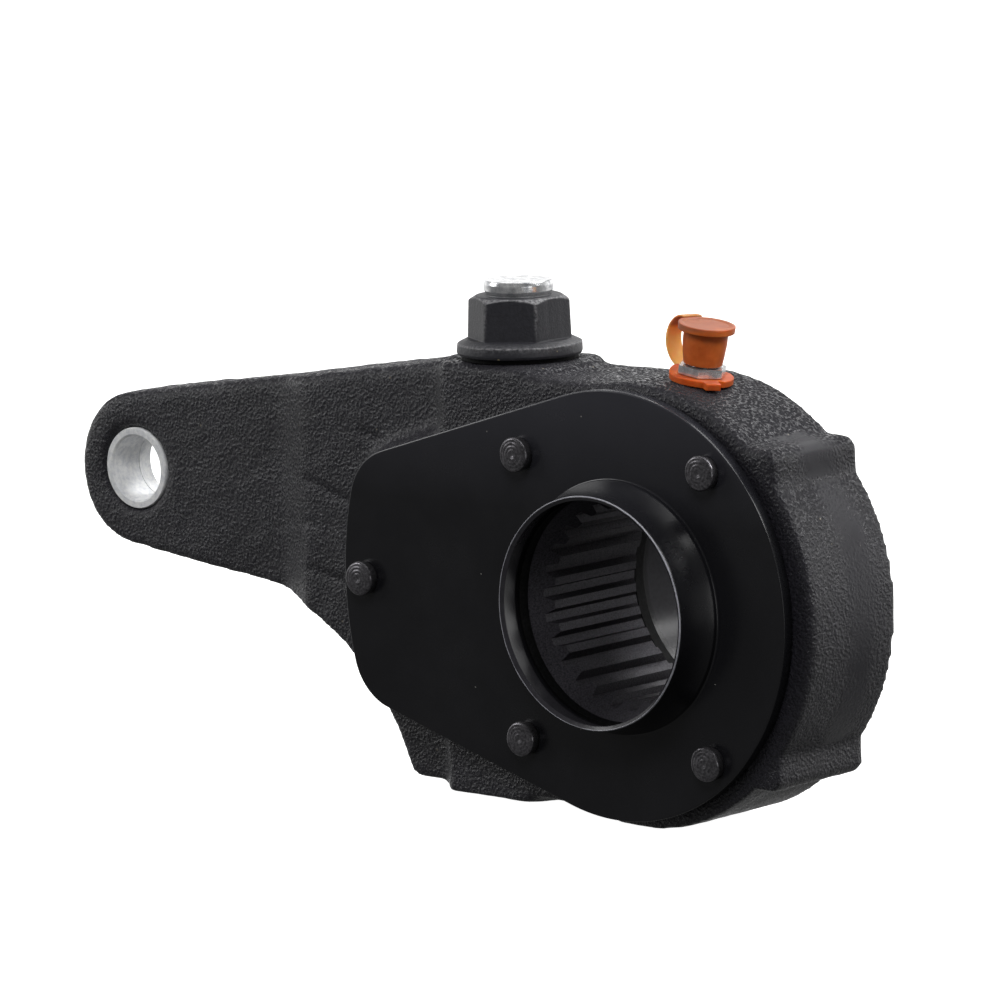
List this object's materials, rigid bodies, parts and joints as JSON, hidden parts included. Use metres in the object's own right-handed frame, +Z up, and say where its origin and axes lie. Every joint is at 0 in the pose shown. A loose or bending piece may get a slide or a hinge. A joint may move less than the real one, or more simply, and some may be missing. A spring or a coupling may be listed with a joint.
{
  "type": "brake slack adjuster",
  "caption": "Manual brake slack adjuster: cast lever arm with a bushed clevis hole, worm drive under a hex, splined worm wheel between riveted covers and a capped grease nipple.",
  "frame": {"origin": "centre of the spline bore at mid thickness", "axes": "+X away from the arm along the covers' line of symmetry, +Y along the bore towards the rear cover, +Z up along the worm shaft towards the hex"},
  "size_m": [0.2115, 0.0552, 0.1097],
  "materials": {
    "cast_black": "rough cast skin under black paint",
    "cover_black": "smooth satin black paint",
    "rivet_steel": "worn dark steel heads",
    "wheel_steel": "broached and hobbed dark steel",
    "zinc_bright": "bright zinc plating",
    "hex_black": "black paint over a forged hex",
    "washer_black": "black coated steel",
    "seal_rubber": "black moulded rubber",
    "bearing_bronze": "plain bronze",
    "plug_steel": "pressed steel",
    "ball_steel": "polished steel",
    "cap_orange": "translucent orange moulded plastic",
    "strap_amber": "translucent amber moulded plastic"
  },
  "bodies": {
    "body": {"arm_body": "cast_black", "front_cover": "cover_black", "rear_cover": "cover_black", "cover_rivets": "rivet_steel", "front_seal": "seal_rubber", "rear_seal": "seal_rubber", "friction_washer": "washer_black", "shaft_seal": "seal_rubber", "upper_thrust_washer": "bearing_bronze", "lower_thrust_washer": "bearing_bronze", "lower_bush": "bearing_bronze", "bore_plug": "plug_steel", "clevis_bush": "zinc_bright", "grease_nipple": "zinc_bright", "nipple_spring": "ball_steel", "cap_ring": "cap_orange", "cap_strap": "strap_amber"},
    "wheel": {"worm_wheel": "wheel_steel"},
    "screw": {"worm": "wheel_steel", "worm_shaft": "zinc_bright", "adjuster_hex": "hex_black"},
    "check_ball": {"nipple_ball": "ball_steel"},
    "cap": {"nipple_cap": "cap_orange"}
  },
  "joints": [
    {"name": "worm_spin", "type": "hinge", "parent": "body", "child": "screw", "pos_m": [-0.0392, 0, 0], "axis": [0, 0, 1], "continuous": true},
    {"name": "wheel_spin", "type": "hinge", "parent": "body", "child": "wheel", "pos_m": [0, 0, 0], "axis": [0, 1, 0], "continuous": true},
    {"name": "cap_pull", "type": "slide", "parent": "body", "child": "cap", "axis": [0.1599, 0, 0.9871], "range_m": [0, 0.009], "deforming": ["cap_strap"]},
    {"name": "ball_lift", "type": "slide", "parent": "body", "child": "check_ball", "axis": [-0.1599, 0, -0.9871], "range_m": [0, 0.0008], "stiffness_N_per_m": 400, "deforming": ["nipple_spring"]}
  ],
  "couplings": [
    {"joint": "wheel_spin", "follows": "worm_spin", "ratio": -0.027778}
  ]
}
